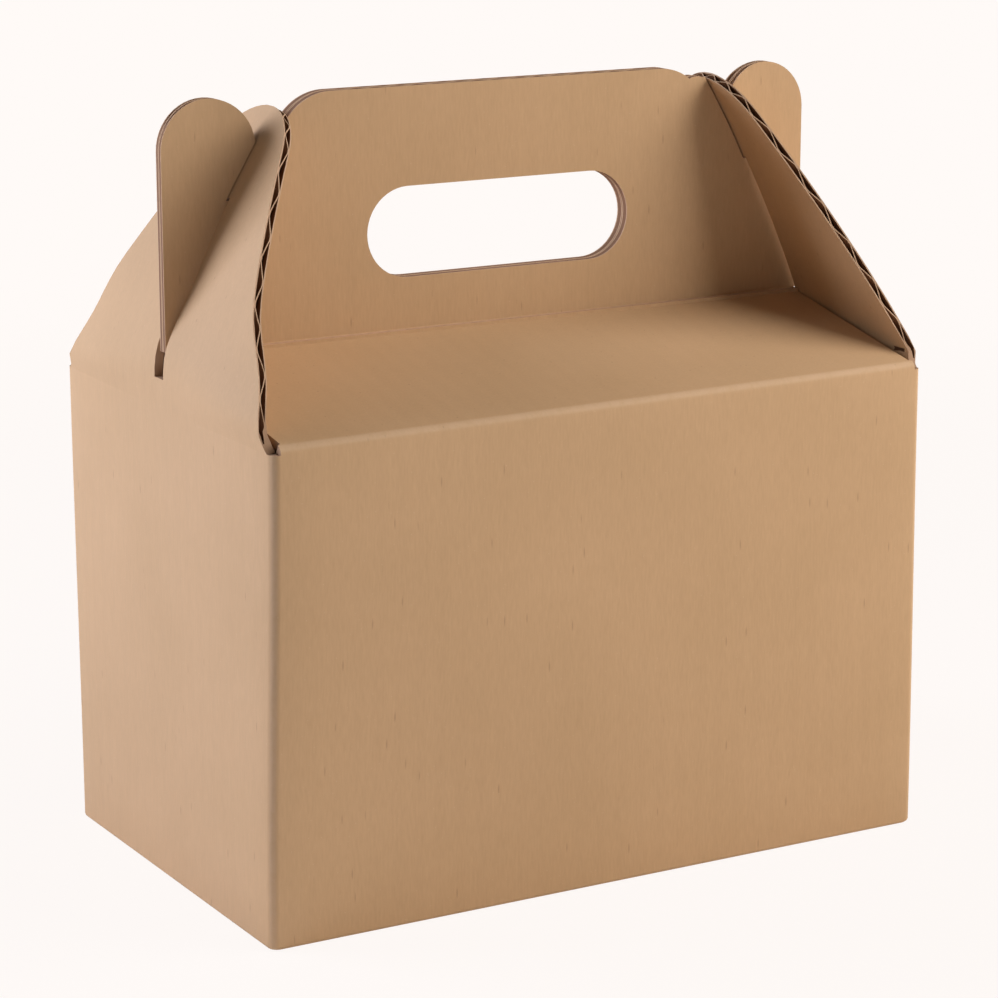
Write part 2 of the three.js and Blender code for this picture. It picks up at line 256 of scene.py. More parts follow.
def select_edges(piece, rule):
    """In edit mode, selects the edges whose two ends both follow a rule, and nothing else."""
    bpy.ops.mesh.select_mode(type="EDGE")
    bpy.ops.mesh.select_all(action="DESELECT")
    mesh = bmesh.from_edit_mesh(piece.data)
    for edge in mesh.edges:
        if all(rule(vertex.co / MM) for vertex in edge.verts):
            edge.select_set(True)
    bmesh.update_edit_mesh(piece.data)


def extrude_by(back=0.0, up=0.0):
    bpy.ops.mesh.extrude_region_move(TRANSFORM_OT_translate={"value": (0, back * MM, up * MM)})


def resize_about_middle(across=1.0, back=1.0):
    bpy.ops.transform.resize(value=(across, back, 1), center_override=(0, 0, 0))


def cut_across(places, axis):
    """In edit mode, adds an edge loop at each place along an axis."""
    bpy.ops.mesh.select_mode(type="FACE")
    for place in places:
        bpy.ops.mesh.select_all(action="SELECT")
        point = [0, 0, 0]
        normal = [0, 0, 0]
        point[axis] = place * MM
        normal[axis] = 1
        bpy.ops.mesh.bisect(plane_co=point, plane_no=normal)


def place_selected(piece, rule):
    """Moves each selected point of the piece in edit mode to where a rule puts it."""
    mesh = bmesh.from_edit_mesh(piece.data)
    for vertex in mesh.verts:
        if vertex.select:
            vertex.co = Vector(rule(vertex.co / MM)) * MM
    bmesh.update_edit_mesh(piece.data)


def apply_modifier(piece, kind, **settings):
    work_on(piece)
    modifier = piece.modifiers.new(kind.lower(), kind)
    for name, value in settings.items():
        setattr(modifier, name, value)
    bpy.ops.object.modifier_apply(modifier=modifier.name)


def loft(name, sections, material):
    """A closed solid through sections of as many points each, given in millimetres."""
    mesh = bmesh.new()
    rings = [[mesh.verts.new(Vector(point) * MM) for point in section] for section in sections]
    mesh.faces.new(reversed(rings[0]))
    mesh.faces.new(rings[-1])
    for lower, upper in zip(rings, rings[1:]):
        count = len(lower)
        for index in range(count):
            following = (index + 1) % count
            mesh.faces.new((lower[index], lower[following], upper[following], upper[index]))
    bmesh.ops.recalc_face_normals(mesh, faces=mesh.faces)
    data = bpy.data.meshes.new(name)
    mesh.to_mesh(data)
    mesh.free()
    data.materials.append(material)
    solid = bpy.data.objects.new(name, data)
    scene.collection.objects.link(solid)
    return solid


def join(pieces, name):
    deselect_all()
    for piece in pieces:
        piece.select_set(True)
    bpy.context.view_layer.objects.active = pieces[0]
    bpy.ops.object.join()
    pieces[0].name = name
    return pieces[0]


def cut(piece, cutter, operation="DIFFERENCE"):
    """Cuts one solid by another, which is used up."""
    apply_modifier(
        piece,
        "BOOLEAN",
        operation=operation,
        object=cutter,
        solver="EXACT",
        material_mode="TRANSFER",
    )
    bpy.data.objects.remove(cutter)


# The gable flaps' surfaces; side is 1 for the right-hand flap and -1 for the left-hand one

def smoothstep(value, low, high):
    share = min(max((value - low) / (high - low), 0), 1)
    return share * share * (3 - 2 * share)


def flap_leaning(side, across, height):
    """How far a flap has bent in from its end wall; the left one is pulled flat above the roof."""
    share = 1 - min(abs(across) / ROOF_REACH, 1)
    bend = EDGE_BEND + (MIDDLE_BEND - EDGE_BEND) * share
    fold = ROOF_RISE * share
    if side < 0:
        ridge = WALL_HEIGHT + ROOF_RISE
        fold += (LEFT_FLAT_RISE - fold) * smoothstep(height, ridge, ridge + LEFT_FLAT_WAY)
    above = height - WALL_HEIGHT - fold
    leaning = max(above + bend, 0) ** 2 / (4 * bend) if above < bend else above
    jutting = smoothstep(height, BEND_START, BEND_START + FLAP_JUT_RISE)
    jut = FLAP_JUT * jutting * abs(across) / (BOX_DEPTH / 2)
    return FLAP_LEAN * leaning + FLAP_BOW * leaning ** 2 - jut


def flap_slope(side, across, height):
    upper = flap_leaning(side, across, height + SLOPE_STEP)
    lower = flap_leaning(side, across, height - SLOPE_STEP)
    return (upper - lower) / (2 * SLOPE_STEP)


def on_flap(side, across, depth, height):
    """The point of a flap at a distance from its middle line, a depth in its board and a height."""
    level = depth * math.hypot(1, flap_slope(side, across, height))
    return (side * (BOX_LENGTH / 2 - flap_leaning(side, across, height) - level), across, height)


def flap_height(side, way):
    """Height of a point that lies a given way up the flat flap, along its middle."""
    height = WALL_HEIGHT
    climbed = 0
    while climbed < way:
        height += min(SLOPE_STEP, way - climbed) / math.hypot(1, flap_slope(side, 0, height))
        climbed += SLOPE_STEP
    return height


FLAP_HALF_WIDTH = BOX_DEPTH / 2 - FLAP_SET_BACK
TIP_WAY = FLAP_LENGTH - FLAP_TIP_RADIUS
FLAP_REACH = math.hypot(FLAP_HALF_WIDTH, TIP_WAY)
FLAP_SLANT = math.acos(FLAP_TIP_RADIUS / FLAP_REACH) - math.atan2(TIP_WAY, FLAP_HALF_WIDTH)
TANGENT_WAY = TIP_WAY + FLAP_TIP_RADIUS * math.sin(FLAP_SLANT)


def half_width_at(way):
    if way < TANGENT_WAY:
        return FLAP_HALF_WIDTH - way * math.tan(FLAP_SLANT)
    return math.sqrt(max(FLAP_TIP_RADIUS ** 2 - (way - TIP_WAY) ** 2, 0))


def edge_way(across):
    """The way up the flat flap at which its edge is a given distance from its middle line."""
    slanted_way = (FLAP_HALF_WIDTH - abs(across)) / math.tan(FLAP_SLANT)
    if slanted_way < TANGENT_WAY:
        return slanted_way
    return TIP_WAY + math.sqrt(FLAP_TIP_RADIUS ** 2 - across ** 2)


SHOULDER_LEAN = math.atan(flap_slope(1, 0, HANDLE_TOP - NOTCH_DEPTH / 2))
SHOULDER_HEIGHT = HANDLE_TOP - SHOULDER_RADIUS
SHOULDER_END = SHOULDER_HEIGHT + SHOULDER_RADIUS * math.sin(SHOULDER_LEAN)
SHOULDER_EDGE = on_flap(1, 0, BOARD, SHOULDER_END)[0] - SHOULDER_GAP
HANDLE_TOP_HALF = SHOULDER_EDGE - SHOULDER_RADIUS * math.cos(SHOULDER_LEAN)
EAR_EDGE = BOX_LENGTH / 2 - EAR_SET_BACK
EAR_HEAD_X = EAR_EDGE - EAR_HEAD_RADIUS
EAR_HEAD_Z = HANDLE_TOP - EAR_HEAD_RADIUS
EAR_FOOT = WALL_HEIGHT + ROOF_RISE + EAR_FOOT_GAP
HANDLE_FACE = BOARD + LAYER_GAP / 2
SLOT_HALF = BOARD + SLOT_GAP + LAYER_GAP / 2


# The folded sheet

def make_walls():
    """A ring of four walls, open at the top and the bottom, with round upright folds."""
    deselect_all()
    middle = (BASE_ROUNDING + BEND_START) / 2 * MM
    bpy.ops.mesh.primitive_cube_add(size=1, location=(0, 0, middle))
    walls = bpy.context.object
    walls.name = "folded_board"
    walls.dimensions = (BOX_LENGTH * MM, BOX_DEPTH * MM, (BEND_START - BASE_ROUNDING) * MM)
    bpy.ops.object.transform_apply(location=True, rotation=False, scale=True)
    bpy.ops.object.mode_set(mode="EDIT")
    mesh = bmesh.from_edit_mesh(walls.data)
    ends = [face for face in mesh.faces if abs(face.normal.z) > 0.5]
    bmesh.ops.delete(mesh, geom=ends, context="FACES_ONLY")
    bmesh.update_edit_mesh(walls.data)
    bpy.ops.mesh.select_mode(type="EDGE")
    bpy.ops.mesh.select_all(action="DESELECT")
    mesh = bmesh.from_edit_mesh(walls.data)
    for edge in mesh.edges:
        if abs(edge.verts[0].co.z - edge.verts[1].co.z) > MM:
            edge.select_set(True)
    bmesh.update_edit_mesh(walls.data)
    bpy.ops.mesh.bevel(offset=FOLD_RADIUS * MM, segments=FOLD_STEPS)
    columns = [FLAT_HALF_LENGTH * (2 * step / WALL_COLUMNS - 1) for step in range(1, WALL_COLUMNS)]
    cut_across(columns, 0)
    columns = [FLAT_HALF_DEPTH * (2 * step / END_COLUMNS - 1) for step in range(1, END_COLUMNS)]
    cut_across(columns + [-SLOT_HALF, SLOT_HALF], 1)
    rows = [BEND_START * (1 - step / WALL_ROWS) for step in range(1, WALL_ROWS)]
    cut_across(rows + [BEND_START - FOLD_RADIUS], 2)
    return walls


def round_the_base(walls):
    """Extrudes the ring's lower edge down and inwards, in a quarter round."""
    select_edges(walls, lambda point: point.z < BASE_ROUNDING + NEAR)
    inset = 0.0
    height = BASE_ROUNDING
    for step in range(1, BASE_STEPS + 1):
        angle = QUARTER * step / BASE_STEPS
        next_inset = BASE_ROUNDING * (1 - math.cos(angle))
        next_height = BASE_ROUNDING * (1 - math.sin(angle))
        extrude_by(up=next_height - height)
        resize_about_middle(
            (BOX_LENGTH - 2 * next_inset) / (BOX_LENGTH - 2 * inset),
            (BOX_DEPTH - 2 * next_inset) / (BOX_DEPTH - 2 * inset),
        )
        inset = next_inset
        height = next_height


def spin_fold(height, back, angle, steps):
    """Turns the selected edges about a line along X, anticlockwise as seen from its far end."""
    bpy.ops.mesh.spin(
        steps=steps,
        angle=-angle,
        center=(0, back * MM, height * MM),
        axis=(1, 0, 0),
    )


def fold_roof(walls, side):
    """Folds one roof panel over from its long wall and turns it up to the foot of the handle's ply.

    side is -1 for the front wall and 1 for the back wall.
    """
    select_edges(
        walls,
        lambda point: abs(point.z - BEND_START) < NEAR
        and point.y * side > BOX_DEPTH / 2 - NEAR
        and abs(point.x) < FLAT_HALF_LENGTH + NEAR,
    )
    spin_fold(BEND_START, side * FLAT_HALF_DEPTH, side * ROOF_FOLD, FOLD_STEPS)
    resize_about_middle(ROOF_HALF_LENGTH / FLAT_HALF_LENGTH)
    outer_cut = FOLD_RADIUS * math.tan(ROOF_FOLD / 2)
    inner_cut = INNER_BEND_RADIUS * math.tan(ROOF_FOLD / 2)
    reach = BOX_DEPTH / 2 - HANDLE_FACE
    run = math.hypot(reach, ROOF_RISE) - outer_cut - inner_cut
    for _ in range(ROOF_ROWS):
        step = run / ROOF_ROWS
        extrude_by(back=-side * step * math.cos(ROOF_SLOPE), up=step * math.sin(ROOF_SLOPE))
    turn_height = WALL_HEIGHT + ROOF_RISE + inner_cut
    turn_back = side * (HANDLE_FACE + INNER_BEND_RADIUS)
    spin_fold(turn_height, turn_back, -side * ROOF_FOLD, FOLD_STEPS // 2)
    extrude_by(up=EAR_FOOT - turn_height)


def flap_rows(side):
    """Height and half width of each row of a gable flap, from its foot to its tip."""
    foot_half = half_width_at(FLAP_FOOT_WAY)
    rows = [(WALL_HEIGHT - FLAP_FOOT_DROP, (FLAT_HALF_DEPTH + foot_half) / 2)]
    ways = [FLAP_FOOT_WAY, SLOT_FOOT]
    for step in range(1, FLAP_ROWS + 1):
        share = (step / FLAP_ROWS) ** FLAP_ROW_CROWDING
        ways.append(SLOT_FOOT + (TANGENT_WAY - SLOT_FOOT) * share)
    for step in range(1, TIP_ROWS + 1):
        angle = FLAP_SLANT + (QUARTER - FLAP_SLANT) * (step - TIP_ROW_LEAD) / TIP_ROWS
        ways.append(TIP_WAY + FLAP_TIP_RADIUS * math.sin(angle))
    ways.append(SLOT_HEAD)
    for way in sorted(ways):
        rows.append((flap_height(side, way), half_width_at(way)))
    return rows


def raise_flap(walls, side):
    """Draws a gable flap up from a copy of an end wall's top edge, row by row, and opens its slot.

    side is 1 for the right-hand end and -1 for the left-hand end.
    """
    work_on(walls)
    bpy.ops.object.mode_set(mode="EDIT")
    select_edges(
        walls,
        lambda point: abs(point.z - BEND_START) < NEAR
        and point.x * side > BOX_LENGTH / 2 - NEAR
        and abs(point.y) < FLAT_HALF_DEPTH + NEAR,
    )
    bpy.ops.mesh.duplicate()
    bpy.ops.mesh.separate(type="SELECTED")
    flap = [piece for piece in bpy.context.selected_objects if piece is not walls][0]
    work_on(flap)
    flap.name = "gable_flap"
    bpy.ops.object.mode_set(mode="EDIT")
    bpy.ops.mesh.select_all(action="SELECT")
    slot_foot = flap_height(side, SLOT_FOOT)
    slot_head = flap_height(side, SLOT_HEAD)
    previous_half = FLAT_HALF_DEPTH
    for height, half_width in flap_rows(side):
        extrude_by(up=NEAR)

        def row_place(point, height=height, half_width=half_width, previous_half=previous_half):
            across = abs(point.y)
            if height > slot_head + NEAR:
                across *= half_width / previous_half
            elif across > SLOT_HALF + NEAR:
                widening = (half_width - SLOT_HALF) / (previous_half - SLOT_HALF)
                across = SLOT_HALF + (across - SLOT_HALF) * widening
            return on_flap(side, math.copysign(across, point.y), 0, height)

        place_selected(flap, row_place)
        previous_half = half_width
    mesh = bmesh.from_edit_mesh(flap.data)
    opened = []
    for face in mesh.faces:
        middle = face.calc_center_median() / MM
        if abs(middle.y) < SLOT_HALF and slot_foot < middle.z < slot_head:
            opened.append(face)
    bmesh.ops.delete(mesh, geom=opened, context="FACES")
    bmesh.update_edit_mesh(flap.data)
    return flap


def face_outwards(sheet, outwards):
    """Turns a sheet's faces to the side that a direction points to."""
    work_on(sheet)
    bpy.ops.object.mode_set(mode="EDIT")
    bpy.ops.mesh.select_all(action="SELECT")
    bpy.ops.mesh.remove_doubles(threshold=0.001 * MM)
    bpy.ops.mesh.normals_make_consistent(inside=False)
    mesh = bmesh.from_edit_mesh(sheet.data)
    if sum(face.normal.dot(outwards) * face.calc_area() for face in mesh.faces) < 0:
        bpy.ops.mesh.flip_normals()
    bpy.ops.object.mode_set(mode="OBJECT")


def give_thickness(sheet, kraft, raw_edge, offset=-1, **settings):
    """Thickens a face behind it, or in front of it at offset 1; the rim is raw board edge."""
    sheet.data.materials.append(kraft)
    sheet.data.materials.append(raw_edge)
    depth = BOARD * MM
    apply_modifier(sheet, "SOLIDIFY", thickness=depth, offset=offset, material_offset_rim=1, **settings)


def arc(middle_x, middle_z, radius, start, end):
    points = []
    for step in range(ARC_STEPS + 1):
        angle = start + (end - start) * step / ARC_STEPS
        points.append((middle_x + radius * math.cos(angle), middle_z + radius * math.sin(angle)))
    return points


def handle_outline():
    """The handle and its two ears seen from the front, from the right foot round to the left.

    The right-hand shoulder ends in a small lip beside the notch, and the left-hand one runs down.
    """
    ear = [(EAR_EDGE, EAR_FOOT)] + arc(EAR_HEAD_X, EAR_HEAD_Z, EAR_HEAD_RADIUS, 0, math.pi)
    lip_top = HANDLE_TOP - LIP_DROP
    lip = [(on_flap(1, 0, BOARD / 2, lip_top)[0], lip_top - LIP_FALL)]
    lip += arc(SHOULDER_EDGE - LIP_SET_IN, lip_top - LIP_RADIUS, LIP_RADIUS, LIP_START, LIP_END)
    lip += arc(HANDLE_TOP_HALF, SHOULDER_HEIGHT, SHOULDER_RADIUS, SHOULDER_FOOT, QUARTER)
    shoulder = arc(HANDLE_TOP_HALF, SHOULDER_HEIGHT, SHOULDER_RADIUS, SHOULDER_LEAN, QUARTER)
    left = [(-x, z) for x, z in reversed(ear + shoulder)]
    return ear + lip + left


def prism_along_y(name, outline, half_depth, material):
    sections = [[(x, y, z) for x, z in outline] for y in (-half_depth, half_depth)]
    return loft(name, sections, material)


def hand_hole(material):
    radius = HOLE_HEIGHT / 2
    middle = HANDLE_TOP - HOLE_DROP
    reach = HOLE_LENGTH / 2 - radius
    outline = arc(reach, middle, radius, -QUARTER, QUARTER)
    outline += arc(-reach, middle, radius, QUARTER, 3 * QUARTER)
    return prism_along_y("hand_hole", outline, 4 * SPARE, material)


def notch(side, material):
    """The space that a gable flap takes in the handle, above the notch's foot."""
    low = HANDLE_TOP - NOTCH_DEPTH
    sections = []
    half_depth = HANDLE_FACE + SHORT_SPARE
    for step in range(NOTCH_STEPS + 1):
        height = low + (NOTCH_DEPTH + SPARE) * step / NOTCH_STEPS
        outer = on_flap(side, 0, -NOTCH_GAP, height)[0]
        inner = on_flap(side, 0, BOARD + NOTCH_INNER_GAP, height)[0]
        sections.append([
            (inner, -half_depth, height),
            (outer, -half_depth, height),
            (outer, half_depth, height),
            (inner, half_depth, height),
        ])
    return loft("notch", sections, material)


def cell_section(middle, towards_inside):
    """One flute's open end: a trapezoid whose base lies on one liner, as across and depth."""
    base_half = FLUTE_PITCH / 2 - CREST_HALF
    base = BOARD - LINER if towards_inside else LINER
    crest = LINER + MEDIUM if towards_inside else BOARD - LINER - MEDIUM
    return [
        (middle - base_half, base),
        (middle + base_half, base),
        (middle + CREST_HALF, crest),
        (middle - CREST_HALF, crest),
    ]


def flute_row(start, end, margin=FLUTE_PITCH / 2 + CREST_HALF):
    """The middle of each flute between two places, and whether its base is on the inner liner."""
    half_pitch = FLUTE_PITCH / 2
    first = math.ceil((start + margin) / half_pitch)
    last = math.floor((end - margin) / half_pitch)
    return [(index * half_pitch, index % 2 != 0) for index in range(first, last + 1)]


def flap_flutes(side, material):
    """Cutters for the flutes that open on a flap's edge, clear of its slot and of the wall."""
    cells = []
    slot_side = SLOT_HALF + LINER
    foot_half = half_width_at(FLAP_FOOT_WAY)
    for middle, towards_inside in flute_row(-foot_half, foot_half, FOOT_CELL_MARGIN):
        inner = max(abs(middle) - FLUTE_PITCH / 2, 0)
        top = flap_height(side, edge_way(inner)) + SHORT_SPARE
        foot = max(flap_height(side, edge_way(middle)) - CELL_DEPTH, WALL_HEIGHT + LINER)
        if inner < slot_side:
            foot = max(foot, flap_height(side, SLOT_HEAD) + SHORT_SPARE)
        section = cell_section(middle, towards_inside)
        sections = []
        for step in range(CELL_STEPS + 1):
            height = foot + (top - foot) * step / CELL_STEPS
            sections.append([on_flap(side, across, depth, height) for across, depth in section])
        cells.append(loft("cell", sections, material))
    return cells


def handle_flutes(side, material):
    """Cutters for the flutes that open on a ply's top edge and on the heads of its ears."""
    cells = []
    row = []
    for middle, inside in flute_row(-HANDLE_TOP_HALF, HANDLE_TOP_HALF):
        row.append((middle, inside, HANDLE_TOP))
    for head in (-EAR_HEAD_X, EAR_HEAD_X):
        for middle, inside in flute_row(head - EAR_HEAD_RADIUS, head + EAR_HEAD_RADIUS):
            rise = math.sqrt(EAR_HEAD_RADIUS ** 2 - (middle - head) ** 2)
            row.append((middle, inside, EAR_HEAD_Z + rise))
    for middle, inside, edge in row:
        section = cell_section(middle, inside)
        sections = [
            [(x, side * (HANDLE_FACE - depth), z) for x, depth in section]
            for z in (edge - CELL_DEPTH, edge + SPARE)
        ]
        cells.append(loft("cell", sections, material))
    return cells


def make_handle_ply(side, kraft, raw_edge, painted_flute_shade):
    """One upright ply of the handle with its two ears, above the roof's bend.

    side is -1 for the front ply and 1 for the back ply.
    """
    deselect_all()
    rise = HANDLE_TOP - EAR_FOOT
    bpy.ops.mesh.primitive_grid_add(x_subdivisions=HANDLE_COLUMNS, y_subdivisions=HANDLE_ROWS, size=1)
    ply = bpy.context.object
    ply.name = "handle_ply"
    ply.scale = (BOX_LENGTH * MM, rise * MM, 1)
    ply.rotation_euler = (QUARTER, 0, 0)
    ply.location = (0, side * HANDLE_FACE * MM, (EAR_FOOT + rise / 2) * MM)
    bpy.ops.object.transform_apply(location=True, rotation=True, scale=True)
    if side > 0:
        bpy.ops.object.mode_set(mode="EDIT")
        bpy.ops.mesh.select_all(action="SELECT")
        bpy.ops.mesh.flip_normals()
        bpy.ops.object.mode_set(mode="OBJECT")
    give_thickness(ply, kraft, raw_edge)
    outline = prism_along_y("handle_outline", handle_outline(), 2 * HANDLE_FACE, raw_edge)
    cut(ply, outline, "INTERSECT")
    cut(ply, hand_hole(raw_edge))
    for end in (-1, 1):
        cut(ply, notch(end, raw_edge))
    cut(ply, join(handle_flutes(side, painted_flute_shade), "flutes"))
    return ply


def bottom_panel(root, half_width, panel, heading, kraft, raw_edge):
    """A flat tapered panel that starts at a wall and reaches under the box in its own layer."""
    deselect_all()
    reach = panel["reach"]
    height = panel["layer"] * (BOARD + LAYER_GAP)
    bpy.ops.mesh.primitive_plane_add(size=1, location=(0, (reach / 2 - root) * MM, height * MM))
    sheet = bpy.context.object
    sheet.name = "bottom_panel"
    sheet.scale = (2 * half_width * MM, reach * MM, 1)
    bpy.ops.object.transform_apply(location=True, rotation=True, scale=True)
    bpy.ops.object.mode_set(mode="EDIT")
    select_edges(sheet, lambda point: point.y > reach - root - NEAR)
    resize_about_middle((half_width - panel["taper"]) / half_width)
    bpy.ops.mesh.select_all(action="SELECT")
    bpy.ops.mesh.subdivide(number_cuts=PANEL_CUTS)
    bpy.ops.object.mode_set(mode="OBJECT")
    sheet.rotation_euler = (0, 0, heading)
    bpy.ops.object.transform_apply(location=False, rotation=True, scale=False)
    give_thickness(sheet, kraft, raw_edge, offset=1)
    return sheet


def box_cutter(low, high, material):
    deselect_all()
    middle = [(a + b) / 2 * MM for a, b in zip(low, high)]
    bpy.ops.mesh.primitive_cube_add(size=1, location=middle)
    cutter = bpy.context.object
    cutter.dimensions = [(b - a) * MM for a, b in zip(low, high)]
    bpy.ops.object.transform_apply(location=True, rotation=False, scale=True)
    cutter.data.materials.append(material)
    return cutter


def make_tongue(start, kraft, raw_edge):
    """The strip that bends up out of the front panel, lies on the back panel and holds it down."""
    deselect_all()
    first_run = 1
    bpy.ops.mesh.primitive_plane_add(size=1, location=(0, (start + first_run / 2) * MM, 0))
    strip = bpy.context.object
    strip.name = "tongue"
    strip.scale = (2 * TONGUE_HALF_WIDTH * MM, first_run * MM, 1)
    bpy.ops.object.transform_apply(location=True, rotation=True, scale=True)
    climb = TONGUE_LAYER * (BOARD + LAYER_GAP)
    bend_rise = 2 * TONGUE_BEND_RADIUS * (1 - math.cos(TONGUE_TILT))
    turn = TONGUE_TILT / TONGUE_FACETS
    chord = 2 * TONGUE_BEND_RADIUS * math.sin(turn / 2)
    up_bend = [(chord, turn * (facet + 0.5)) for facet in range(TONGUE_FACETS)]
    slope = [((climb - bend_rise) / math.sin(TONGUE_TILT), TONGUE_TILT)]
    moves = up_bend + slope + up_bend[::-1] + [(TONGUE_LAP, 0)]
    bpy.ops.object.mode_set(mode="EDIT")
    select_edges(strip, lambda point: point.y > start + first_run - NEAR)
    for run, tilt in moves:
        extrude_by(back=run * math.cos(tilt), up=run * math.sin(tilt))
    bpy.ops.object.mode_set(mode="OBJECT")
    face_outwards(strip, Vector((0, 0, 1)))
    give_thickness(strip, kraft, raw_edge, offset=1, use_even_offset=True)
    return strip


def make_lock_bottom(kraft, raw_edge):
    """Front panel outside, end panels in the middle, back panel inside, and the tongue over it."""
    wall_x = BOX_LENGTH / 2 - PANEL_ROOT
    wall_y = BOX_DEPTH / 2 - PANEL_ROOT
    side_x = BOX_LENGTH / 2 - BOARD - PANEL_SIDE_GAP
    side_y = BOX_DEPTH / 2 - BOARD - PANEL_SIDE_GAP
    slit_x = TONGUE_HALF_WIDTH + TONGUE_SLIT
    tongue_start = TONGUE_START - wall_y
    front_edge = FRONT_PANEL["reach"] - wall_y
    back_edge = wall_y - BACK_PANEL["reach"]
    front = bottom_panel(wall_y, side_x, FRONT_PANEL, 0, kraft, raw_edge)
    low = (-slit_x, tongue_start, -SPARE)
    high = (slit_x, front_edge + SPARE, SPARE)
    cut(front, box_cutter(low, high, raw_edge))
    back = bottom_panel(wall_y, side_x, BACK_PANEL, math.pi, kraft, raw_edge)
    low = (-slit_x, back_edge - SPARE, -SPARE)
    high = (slit_x, back_edge + CUT_OUT_DEPTH, 3 * SPARE)
    cut(back, box_cutter(low, high, raw_edge))
    ends = [
        bottom_panel(wall_x, side_y, END_PANEL, heading, kraft, raw_edge)
        for heading in (QUARTER, -QUARTER)
    ]
    return [front, back, make_tongue(tongue_start, kraft, raw_edge)] + ends


def keep_flat_place(board):
    """Notes on each point where it lies on the crisp box, so that the finish follows the board."""
    places = board.data.attributes.new(PLACE_NAME, "FLOAT_VECTOR", "POINT")
    for vertex, place in zip(board.data.vertices, places.data):
        place.vector = vertex.co


def corner_shift(x, y, z):
    """How far use has moved a point across and back, blended from the tops of the four folds."""
    along = (min(max(x / (BOX_LENGTH / 2), -1), 1) + 1) / 2
    outward = min(abs(y) / (BOX_DEPTH / 2), 1) ** 2
    left = BACK_LEFT_SHIFT if y > 0 else FRONT_LEFT_SHIFT
    right = BACK_RIGHT_SHIFT if y > 0 else FRONT_RIGHT_SHIFT
    rising = smoothstep(z, 0, WALL_HEIGHT)
    fading = 1 - smoothstep(z, WALL_HEIGHT + SHIFT_FADE_LOW, WALL_HEIGHT + SHIFT_FADE_HIGH)
    share = outward * rising * fading
    return [(start + (end - start) * along) * share for start, end in zip(left, right)]


def wall_wave(x, y, z):
    """How far a point of a wall waves out or in; the wall's foot and top stay as they are."""
    foot_share = smoothstep(z, WAVE_FADE_LOW, WAVE_FADE_HIGH)
    top_share = 1 - smoothstep(z, WALL_HEIGHT - WAVE_FADE_HIGH, WALL_HEIGHT - WAVE_FADE_LOW)
    return noise.noise(Vector((x, y, z)) / WAVE_LENGTH) * 2 * WAVE_DEPTH * (foot_share * top_share)


def settle(board):
    """Gives the crisp box the slack stance of a used one.

    Its top corners are skewed, its walls are wavy and its ears' plies are pressed together.
    """
    inner_x = BOX_LENGTH / 2 - 2 * BOARD
    inner_y = BOX_DEPTH / 2 - 2 * BOARD
    crush_start = EAR_HEAD_X - EAR_HEAD_RADIUS
    for vertex in board.data.vertices:
        x, y, z = vertex.co / MM
        shift_x, shift_y = corner_shift(x, y, z)
        wave = wall_wave(x, y, z)
        if abs(x) > inner_x:
            shift_x += wave * (1 - smoothstep(abs(y), inner_y - WAVE_FADE_SIDE, inner_y))
        if abs(y) > inner_y:
            shift_y += wave * (1 - smoothstep(abs(x), inner_x - WAVE_FADE_SIDE, inner_x))
        if abs(y) < HANDLE_FACE + NEAR and z > EAR_FOOT - NEAR:
            shift_y -= y * EAR_CRUSH * smoothstep(abs(x), crush_start, crush_start + EAR_CRUSH_FADE)
        vertex.co = Vector((x + shift_x, y + shift_y, z)) * MM


def make_folded_board(kraft, raw_edge, ply_edge_finish, painted_flute_shade):
    """Folds, cuts and joins the whole box, and lets it settle."""
    board = make_walls()
    round_the_base(board)
    for side in (-1, 1):
        fold_roof(board, side)
    flaps = []
    for side in (-1, 1):
        flap = raise_flap(board, side)
        face_outwards(flap, Vector((side, 0, 0)))
        give_thickness(flap, kraft, raw_edge, use_even_offset=True, use_quality_normals=True)
        cut(flap, join(flap_flutes(side, painted_flute_shade), "flutes"))
        flaps.append(flap)
    face_outwards(board, Vector((0, 0, 1)))
    give_thickness(board, kraft, raw_edge, use_even_offset=True, use_quality_normals=True)
    plies = [make_handle_ply(side, kraft, ply_edge_finish, ply_edge_finish) for side in (-1, 1)]
    bottom = make_lock_bottom(kraft, raw_edge)
    board = join([board] + flaps + plies + bottom, "folded_board")
    keep_flat_place(board)
    settle(board)
    work_on(board)
    bpy.ops.object.shade_smooth_by_angle(angle=SMOOTH_ANGLE)
    return board


# Camera, light, floor and materials

def make_camera():
    bpy.ops.object.camera_add(
        location=CAMERA_PLACE,
        rotation=(QUARTER - CAMERA_DROP, 0, CAMERA_HEADING),
    )
    camera = bpy.context.object
    camera.name = "camera"
    camera.data.lens = CAMERA_LENS
    camera.data.sensor_width = CAMERA_SENSOR
    camera.data.shift_y = CAMERA_SHIFT_UP
    scene.camera = camera


def feed(tree, socket, value):
    """Links another socket to a socket, or sets it to a plain value."""
    if isinstance(value, bpy.types.NodeSocket):
        tree.links.new(value, socket)
    else:
        socket.default_value = value


def node(tree, kind, place, **settings):
    """Adds a node to a tree, with what feeds its sockets and its settings by name."""
    made = tree.nodes.new(kind)
    made.location = place
    for name, value in settings.items():
        if name in made.inputs:
            feed(tree, made.inputs[name], value)
        else:
            setattr(made, name, value)
    return made


def math_node(tree, operation, place, first, second=None):
    made = node(tree, "ShaderNodeMath", place, operation=operation)
    feed(tree, made.inputs[0], first)
    if second is not None:
        feed(tree, made.inputs[1], second)
    return made.outputs[0]


def noise_node(tree, place, vector, scale, detail, roughness=0.5):
    made = node(tree, "ShaderNodeTexNoise", place, Vector=vector, Scale=scale, Detail=detail)
    made.inputs["Roughness"].default_value = roughness
    return made.outputs[0]


def split(tree, place, vector):
    """The three parts of a vector."""
    return node(tree, "ShaderNodeSeparateXYZ", place, Vector=vector).outputs


